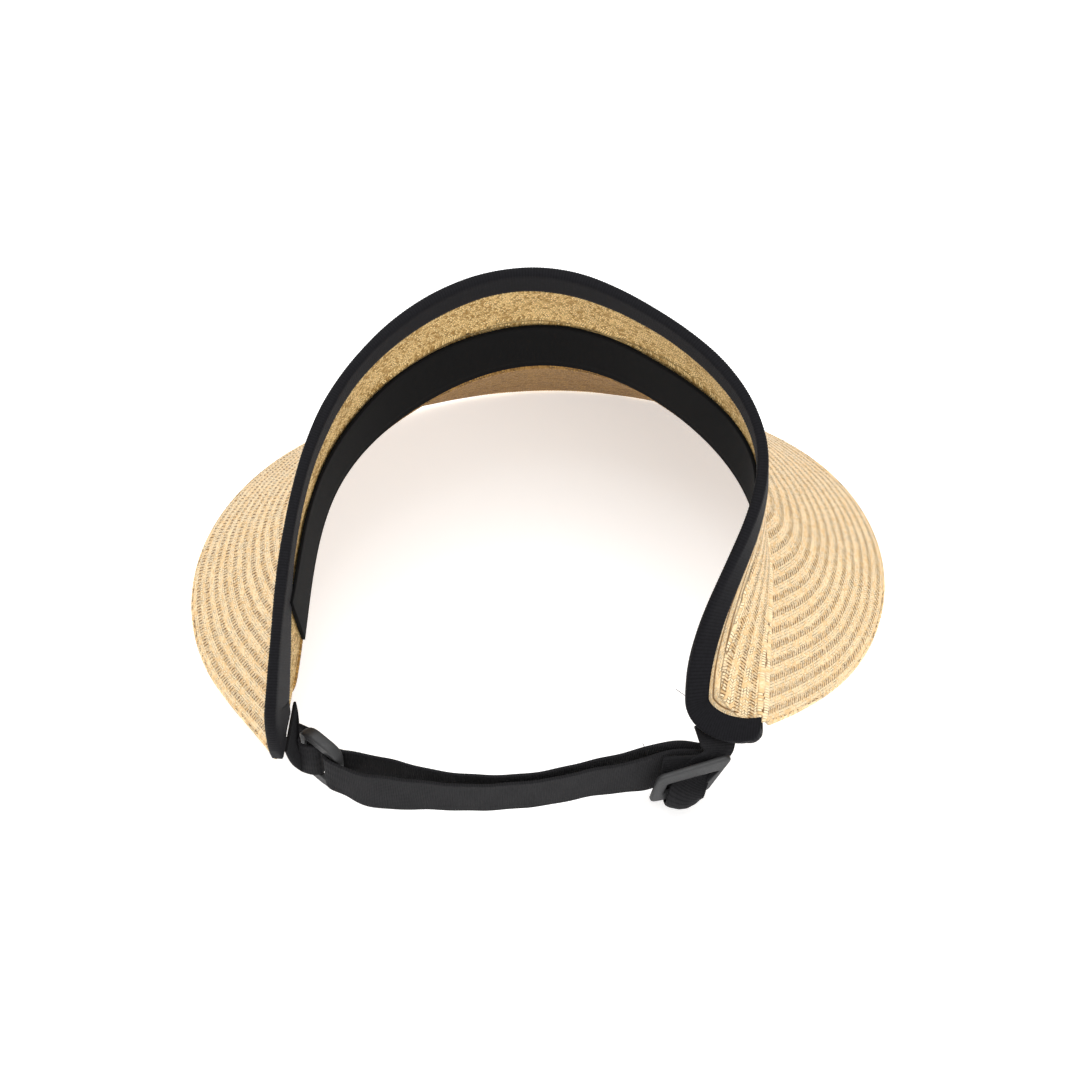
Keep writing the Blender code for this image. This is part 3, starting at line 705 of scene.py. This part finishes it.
# a section from -1 to 1 both ways, drawn out to the strip's height and thickness
band_share, band_layer = (strip_profile(2.0, 0.1, 20) / (1.0, 0.05)).T
band_reach = (band_foot + band_half)[:, None] + band_half[:, None] * band_share
band_out = -(WALL_THICK / 2.0 + BAND_CLEAR + BAND_THICK / 2.0) + band_layer * BAND_THICK / 2.0
seam_dip = 0.3 * np.exp(-((band_share + 0.86) / 0.03) ** 2) * np.sign(band_layer)
band_sway = 0.35 * np.sin(band_along[:, None] / 11.0) * (band_share[None, :] + 1.0) / 2.0
band_points = wall(crown_way, np.repeat(band_along[:, None], len(band_share), axis=1), band_reach,
                   band_out[None, :] - seam_dip[None, :] + np.minimum(band_sway, 0.25))
band_uv = np.stack(np.broadcast_arrays(band_along[:, None], band_reach), -1)
sweatband = make_piece("sweatband_strip", band_points,
                       grid_faces(len(band_along), len(band_share), wrap_columns=True), (sweat_cloth,),
                       band_uv, caps=end_caps(len(band_along), len(band_share)))
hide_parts("sweatband")

# Plastic ring and slider. Moulded black frames, flat with rounded edges and one window each. A section
# with soft corners is carried round between the outer outline and the window's outline.
PLASTIC_THICK = 2.4
ROUND_STEPS = 14            # points in each round corner of an outline
SQUARENESS = 0.45           # power that pushes a bar's section out: 1 is a circle, 0 a square


def plastic_material(name, dark, light):
    """Half-matt moulded plastic with a fine spark-eroded grain."""
    material = bpy.data.materials.new(name)
    material.use_nodes = True
    pen = NodePen(material.node_tree)
    shader = material.node_tree.nodes["Principled BSDF"]
    place = pen.node("ShaderNodeTexCoord").outputs["Object"]
    grain, cloud = pen.noise(place, 2600.0, 3.0), pen.noise(place, 260.0, 2.0)
    pen.put(shader.inputs["Base Color"], pen.blend(cloud, (*dark, 1.0), (*light, 1.0)))
    pen.put(shader.inputs["Roughness"], pen.ramp(grain, 0.2, 0.8, 0.38, 0.6))
    shader.inputs["Specular IOR Level"].default_value = 0.5
    bump = pen.node("ShaderNodeBump")
    bump.inputs["Distance"].default_value = 0.00008
    bump.inputs["Strength"].default_value = 0.6
    pen.put(bump.inputs["Height"], grain)
    pen.put(shader.inputs["Normal"], bump.outputs[0])
    return material


moulded = plastic_material("moulded_black", (0.011, 0.011, 0.0115), (0.027, 0.027, 0.028))


def round_box(size, corner):
    """Rectangle with round corners, counter-clockwise, evenly numbered so that two of them match up."""
    quarter = np.linspace(0.0, np.pi / 2.0, ROUND_STEPS)
    half = np.array(size) / 2.0 - corner
    turns = np.concatenate([quarter + index * np.pi / 2.0 for index in range(4)])
    signs = np.repeat(np.array(((1, 1), (-1, 1), (-1, -1), (1, -1))), ROUND_STEPS, axis=0)
    return signs * half + corner * np.column_stack((np.cos(turns), np.sin(turns)))


def plastic_frame(name, centre, along, side, across, outer, inner, dish, top_plate=0.0):
    """Frame between two matching outlines; its section is a circle pushed out towards a square.

    dish is how much thinner its bars are in their middle than at their edges; top_plate is how much thicker
    than the rest its upper bar is, which makes that bar a broad plate.
    """
    angle = np.linspace(0.0, 2.0 * np.pi, 20, endpoint=False)
    wide = np.sign(np.cos(angle)) * np.abs(np.cos(angle)) ** SQUARENESS
    thick = np.sign(np.sin(angle)) * np.abs(np.sin(angle)) ** SQUARENESS
    middle, half = (outer + inner)[:, None, :] / 2.0, (outer - inner)[:, None, :] / 2.0
    flat = middle + half * wide[None, :, None]
    raised = np.clip((middle[..., 1] / outer[:, 1].max() - 0.55) / 0.25, 0.0, 1.0)
    broad = 1.0 + top_plate * raised ** 2 * (3.0 - 2.0 * raised)
    rise = PLASTIC_THICK / 2.0 * thick[None, :] * broad * (1.0 - dish * (1.0 - np.abs(wide[None, :])))
    points = centre + flat[..., :1] * along + flat[..., 1:] * across + side * rise[..., None]
    return make_piece(name, points, grid_faces(len(outer), len(angle), True, True), (moulded,))


def four_corner(corners, softness):
    """Round box pulled to four corners (upper right, upper left, lower left, lower right), bilinearly."""
    across, up = round_box((2.0, 2.0), softness).T[:, :, None]
    right_up, left_up, left_low, right_low = np.array(corners)
    return ((1 + across) * (1 + up) * right_up + (1 - across) * (1 + up) * left_up
            + (1 - across) * (1 - up) * left_low + (1 + across) * (1 - up) * right_low) / 4.0


def turned(degrees):
    """Unit vectors in plan: along a direction, and to its right-hand side."""
    angle = np.radians(degrees)
    return np.array((np.cos(angle), np.sin(angle), 0.0)), np.array((np.sin(angle), -np.cos(angle), 0.0))


RING_LEAN, RING_TIP = np.radians(3.0), np.radians(12.0)
ring_along = turned(140.5)[0]
ring_across = np.array((0.0, np.sin(RING_LEAN), np.cos(RING_LEAN)))
ring_across = unit(ring_across - ring_along * (ring_across @ ring_along))
ring_side = np.cross(ring_along, ring_across)
tipped_along = np.cos(RING_TIP) * ring_along - np.sin(RING_TIP) * ring_across
tipped_across = np.cos(RING_TIP) * ring_across + np.sin(RING_TIP) * ring_along
strap_ring = plastic_frame("plastic_ring", RING_CENTRE, tipped_along, ring_side, tipped_across,
                           round_box((19.5, 25.0), 7.0), round_box((13.0, 17.0), 1.8), 0.2, 1.0)
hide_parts("strap_ring")
SLIDER_CENTRE = np.array((-51.0, 56.5, 17.0))
slider_along, slider_side = turned(195.5)
SLIDER_OUTER = ((16.2, 7.8), (-10.7, 4.3), (-13.9, -7.8), (7.2, -8.4))
SLIDER_WINDOW = ((11.2, 1.6), (-7.4, 0.1), (-8.8, -4.6), (5.4, -5.2))
strap_slider = plastic_frame("plastic_slider", SLIDER_CENTRE, slider_along, slider_side,
                             np.array((0.0, 0.0, 1.0)), four_corner(SLIDER_OUTER, 0.22),
                             four_corner(SLIDER_WINDOW, 0.14), 0.12)
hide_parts("strap_slider")

# Elastic. Black woven elastic 20 mm wide and 1.2 mm thick. The back strap is one length that lies double:
# it comes from the slider, turns round the ring's bar and comes back. A short end is sewn to the crown
# at each side. Each row below is centre x, y, z, lean of its width (top towards the back +) and width.
ELASTIC, ELASTIC_WIDE = 1.2, 20.0
LOOP_WIDTH = 16.4           # width to which a loop is gathered in the ring
RING_BAR = 8.0              # distance of each of the ring's upright bars from its centre
elastic_cloth = woven_material("elastic_black", (0.004, 0.004, 0.0045), (0.019, 0.0185, 0.020), 0.85, 0.9,
                               0.00016, 0.75)


def elastic_strip(name, stations, per_span, square=True, sag=None):
    """Strip section carried along a spline of (centre, width vector) rows, gathered where it narrows.

    Each span has per_span rings. square turns the width square to the way the strip runs; sag is one vector
    per row by which the middle of the strip hangs below its edges.
    """
    spans = len(stations) - 1
    rows = natural_spline(stations, np.linspace(0.0, spans, spans * per_span + 1))
    centre, across = rows[:, :3], rows[:, 3:]
    travel = unit(np.gradient(centre, axis=0))
    width = np.linalg.norm(across, axis=1, keepdims=True)
    if square:
        across = across - travel * (across * travel).sum(axis=1, keepdims=True)
    across = unit(across)
    face = unit(np.cross(travel, across))
    run = path_length(centre)
    section = strip_profile(ELASTIC_WIDE, ELASTIC, 34)
    gather = np.clip((19.6 - width) / 4.0, 0.0, 1.0)
    pleat = 0.05 * gather * np.sin(section[:, 0] * 1.35)[None, :]
    ripple = 0.10 * np.sin(run / 2.3)[:, None] * np.cos(section[:, 0] * 0.35)[None, :]
    out = section[:, 1][None, :] + pleat + ripple
    share = (section[:, 0] / ELASTIC_WIDE)[None, :, None]
    points = (centre[:, None, :] + across[:, None, :] * share * width[:, None]
              + face[:, None, :] * out[..., None])
    if sag is not None:
        hang = natural_spline(sag, np.linspace(0.0, spans, len(run)))
        points += hang[:, None, :] * (1.0 - (2.0 * share) ** 2)
    uv = np.stack(np.broadcast_arrays(run[:, None], section[:, 0][None, :]), -1)
    piece = make_piece(name, points, grid_faces(len(run), len(section), wrap_columns=True), (elastic_cloth,),
                       uv, caps=end_caps(len(run), len(section)))
    return piece


def leaning_rows(rows):
    """Turns (x, y, z, lean, width) rows into centre and width vector."""
    table = np.array(rows)
    tip = np.radians(table[:, 3])
    across = np.column_stack((np.zeros(len(table)), np.sin(tip), np.cos(tip))) * table[:, 4:5]
    return np.column_stack((table[:, :3], across))


def around_bar(centre, along, side, across, radii, angles):
    """Stations of a strip that wraps a bar; angles run from the side vector towards along."""
    turns = np.radians(angles)[:, None]
    points = centre + along * np.sin(turns) * radii[0] + side * np.cos(turns) * radii[1]
    return np.column_stack((points, np.repeat(across[None, :], len(points), axis=0)))


FAR_LAYER = ((-57.0, 43.0, 12.6, 0.0, 12.0), (-44.0, 46.4, 16.6, 8.0, 19.0), (-31.0, 50.8, 17.7, 13.0, 20.0),
             (-17.0, 55.0, 17.7, 13.0, 20.0), (-3.0, 59.2, 17.7, 13.0, 20.0), (11.0, 61.3, 17.7, 13.0, 20.0),
             (25.0, 61.0, 17.7, 13.0, 20.0), (38.5, 58.9, 17.7, 12.0, 20.0), (52.0, 55.0, 17.8, 10.0, 20.0),
             (63.0, 53.0, 19.2, 8.0, 17.4))
NEAR_LAYER = ((66.5, 60.2, 18.9, 8.0, 18.5), (59.5, 62.3, 17.6, 8.0, 21.2), (49.0, 63.6, 17.4, 9.0, 21.0),
              (38.5, 64.6, 17.7, 11.0, 20.0), (25.0, 65.5, 17.7, 13.0, 20.0), (11.0, 64.8, 17.7, 13.0, 20.0),
              (-4.0, 62.6, 17.7, 13.0, 20.0), (-17.0, 59.0, 17.7, 12.0, 20.0), (-30.0, 56.3, 17.5, 9.0, 20.0),
              (-38.0, 53.6, 17.0, 4.0, 19.5), (-47.0, 49.2, 15.2, 0.0, 16.5), (-56.0, 46.0, 12.6, 0.0, 12.5))
far_bar = RING_CENTRE + ring_along * RING_BAR
strap_turn = around_bar(far_bar, ring_along, ring_side, ring_across * LOOP_WIDTH, (4.7, 3.0),
                        (-180.0, -135.0, -90.0, -45.0, 0.0))
back_strap = elastic_strip("back_strap", np.concatenate((leaning_rows(FAR_LAYER), strap_turn,
                                                         leaning_rows(NEAR_LAYER))), 14)
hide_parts("elastic_strap")

# Left end of the elastic: it leaves the crown's left corner flat, twists upright and loops the ring.
LEFT_ROOT, LEFT_ROOT_ACROSS = np.array((86.9, 46.2, 33.0)), np.array((-2.5, -18.0, 5.3))
TAIL = ((-9.5, -2.8), (-11.5, -2.4), (-13.5, -2.0))     # from the ring's centre: along it, to its side
near_bar = RING_CENTRE - ring_along * RING_BAR
tab_turn = around_bar(near_bar, ring_along, ring_side, ring_across * LOOP_WIDTH, (8.0, 3.8),
                      (20.0, 50.0, 90.0, 120.0, 150.0))
tab_share = np.array((0.0, 0.3, 0.6, 0.85))[:, None]
root_width = np.linalg.norm(LEFT_ROOT_ACROSS)
tab_root = np.column_stack((LEFT_ROOT + (tab_turn[0, :3] - LEFT_ROOT) * tab_share,
                            unit(LEFT_ROOT_ACROSS + (tab_turn[0, 3:] - LEFT_ROOT_ACROSS) * tab_share)
                            * (root_width + (LOOP_WIDTH - root_width) * tab_share)))
tab_tail = RING_CENTRE + np.array(TAIL) @ np.array((ring_along, ring_side))
tab_tail = np.column_stack((tab_tail, np.repeat(ring_across[None, :] * LOOP_WIDTH, len(TAIL), axis=0)))
left_end = elastic_strip("left_end", np.concatenate((tab_root, tab_turn, tab_tail)), 12,
                         square=False)
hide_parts("strap_tab")

# Right end of the elastic: from under the curled corner it passes behind the slider's upper bar, through
# the window and round the lower bar. Rows: along the slider, in front of it, height, width.
RIGHT_ROWS = np.array((
    (13.2, -13.0, 27.4, 14.0), (12.9, -9.0, 26.9, 13.5), (12.5, -5.4, 25.7, 12.5), (11.8, -3.6, 23.4, 10.5),
    (9.2, -3.4, 20.4, 10.5), (5.6, -2.9, 17.6, 11.0), (2.6, -1.2, 15.2, 11.5), (0.2, 1.2, 13.8, 12.5),
    (-1.3, 2.8, 12.2, 13.0), (-1.8, 3.1, 10.2, 13.4), (-1.8, 2.3, 8.2, 13.4), (-1.6, 0.2, 6.9, 13.6),
    (-0.8, -1.9, 7.6, 14.0), (-0.8, -2.9, 9.8, 15.0), (-0.8, -3.4, 13.0, 15.0), (-0.8, -4.1, 17.0, 15.0),
    (-0.5, -4.7, 20.5, 15.0), (0.0, -5.2, 23.0, 15.0)))
right_centre = SLIDER_CENTRE + slider_along * RIGHT_ROWS[:, :1] + slider_side * RIGHT_ROWS[:, 1:2]
right_centre[:, 2] = RIGHT_ROWS[:, 2]
right_hang = np.clip(1.0 - np.abs(np.arange(len(RIGHT_ROWS)) - 9.5) / 5.0, 0.0, 1.0)[:, None]
right_sag = right_hang * (slider_side * 1.2 - np.array((0.0, 0.0, 2.6)))
right_end = elastic_strip("right_end", np.column_stack((right_centre, slider_along * RIGHT_ROWS[:, 3:4])), 6,
                          sag=right_sag)
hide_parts("slider_loop")

# Brim rim. The outermost strand of the braid is a little thicker and shows as a fine beaded cord.
RIM_INSET, RIM_RADIUS, BEAD = 0.2, 0.95, 0.14
rim_at = np.interp(np.linspace(0.0, 1.0, 2200), np.linspace(0.0, 1.0, len(brim_along)), brim_along)
rim_edge = np.maximum(read(brim_width, rim_at), WALL_LEAST) - RIM_INSET
rim_line = wall(brim_way, rim_at, rim_edge, np.zeros(len(rim_at)))
rim_length = path_length(rim_line)
rim_travel = unit(np.gradient(rim_line, axis=0))
rim_reach = read(brim_way, rim_at)
rim_reach = unit(rim_reach - rim_travel * (rim_reach * rim_travel).sum(axis=1, keepdims=True))
bead_turn = np.linspace(0.0, 2.0 * np.pi, 8, endpoint=False)
bead = RIM_RADIUS + BEAD * np.cos(2.0 * np.pi * rim_length / SLIT_PITCH)[:, None, None]
rim_points = rim_line[:, None, :] + bead * oval(rim_reach, np.cross(rim_travel, rim_reach), bead_turn)
rim_uv = np.stack(np.broadcast_arrays(rim_length[:, None], 0.1 + 0.3 * bead_turn / (2.0 * np.pi)), -1)
rim = make_piece("straw_rim", rim_points, grid_faces(len(rim_at), len(bead_turn), wrap_columns=True),
                 (straw_face,), rim_uv, caps=end_caps(len(rim_at), len(bead_turn)))

# Loose thread ends. Two short black sewing threads left uncut, at the ribbon's corner and on the strap.
THREAD_RADIUS, THREAD_RINGS = 0.11, 40
THREAD_ROWS = {
    "thread_ribbon": ((-52.2, 32.0, 28.6), (-51.0, 30.2, 29.8), (-49.4, 29.0, 30.4), (-47.2, 27.8, 31.4)),
    "thread_strap": ((-37.2, 55.2, 26.2), (-36.8, 54.4, 27.6), (-36.0, 53.4, 29.4), (-35.1, 52.6, 31.8)),
}
thread_turn = np.linspace(0.0, 2.0 * np.pi, 8, endpoint=False)
for thread_name, thread_rows in THREAD_ROWS.items():
    thread_at = np.linspace(0.0, len(thread_rows) - 1.0, THREAD_RINGS)
    thread_line = natural_spline(np.array(thread_rows), thread_at)
    thread_travel = unit(np.gradient(thread_line, axis=0))
    thread_side = unit(np.cross(thread_travel, (0.0, 1.0, 0.2)))
    thread_round = oval(thread_side, np.cross(thread_travel, thread_side), thread_turn)
    thread_uv = np.stack(np.broadcast_arrays(path_length(thread_line)[:, None], thread_turn[None, :]), -1)
    thread = make_piece(thread_name, thread_line[:, None, :] + THREAD_RADIUS * thread_round,
                        grid_faces(THREAD_RINGS, len(thread_turn), wrap_columns=True), (elastic_cloth,),
                        thread_uv, caps=end_caps(THREAD_RINGS, len(thread_turn)))
